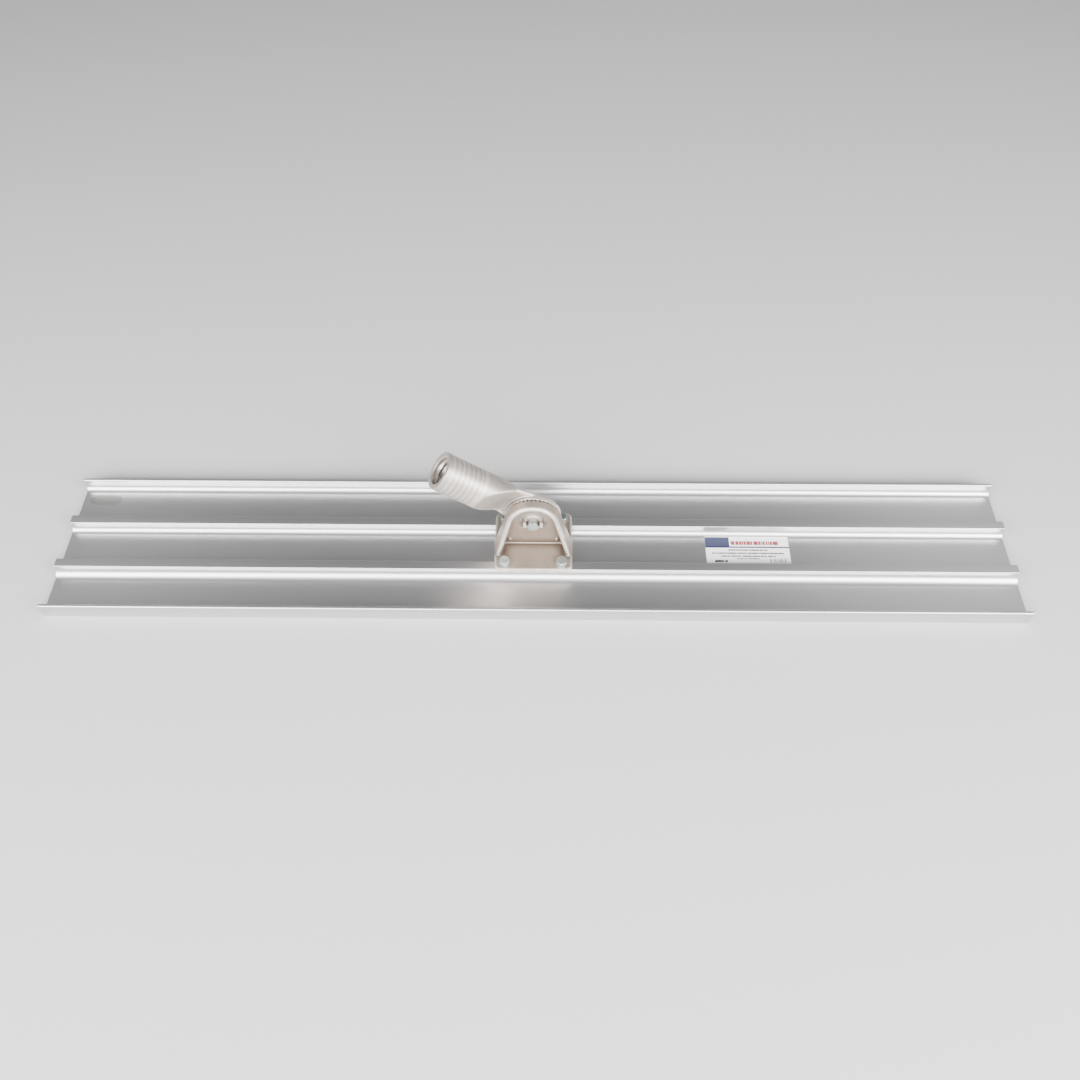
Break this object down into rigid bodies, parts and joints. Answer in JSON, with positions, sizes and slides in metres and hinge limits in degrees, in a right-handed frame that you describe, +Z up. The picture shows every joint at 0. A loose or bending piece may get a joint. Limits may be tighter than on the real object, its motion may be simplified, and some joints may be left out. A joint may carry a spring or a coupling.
{
  "type": "bull float",
  "caption": "Long extruded bull float blade with ribs and edge lips, and a cast bracket whose threaded handle socket tilts on a serrated joint.",
  "frame": {"origin": "middle of the blade's underside, on the surface it stands on", "axes": "+X along the blade, +Y across it towards its rear edge, +Z up; the handle socket points to -X and up"},
  "size_m": [1.2192, 0.2032, 0.1764],
  "materials": {
    "blade": "extruded light metal, satin, lightly drawn along its length",
    "casting": "sand-cast light metal, blasted, warm grey",
    "fastener": "bright zinc plate",
    "label": "printed paper label"
  },
  "bodies": {
    "float": {"blade": "blade", "bracket_base": "casting", "mounting_bolt_front_left": "fastener", "mounting_bolt_front_right": "fastener", "mounting_bolt_rear_left": "fastener", "mounting_bolt_rear_right": "fastener", "lock_washer_front_left": "fastener", "lock_washer_front_right": "fastener", "lock_washer_rear_left": "fastener", "lock_washer_rear_right": "fastener", "pivot_bolt": "fastener", "pivot_washer": "fastener", "pivot_lock_washer": "fastener", "pivot_nut": "fastener", "label": "label"},
    "socket": {"handle_socket": "casting"}
  },
  "joints": [
    {"name": "socket_tilt", "type": "hinge", "parent": "float", "child": "socket", "pos_m": [-0.0015, 0.0031, 0.0735], "axis": [0, 1, 0], "range_deg": [-37, 142]}
  ]
}
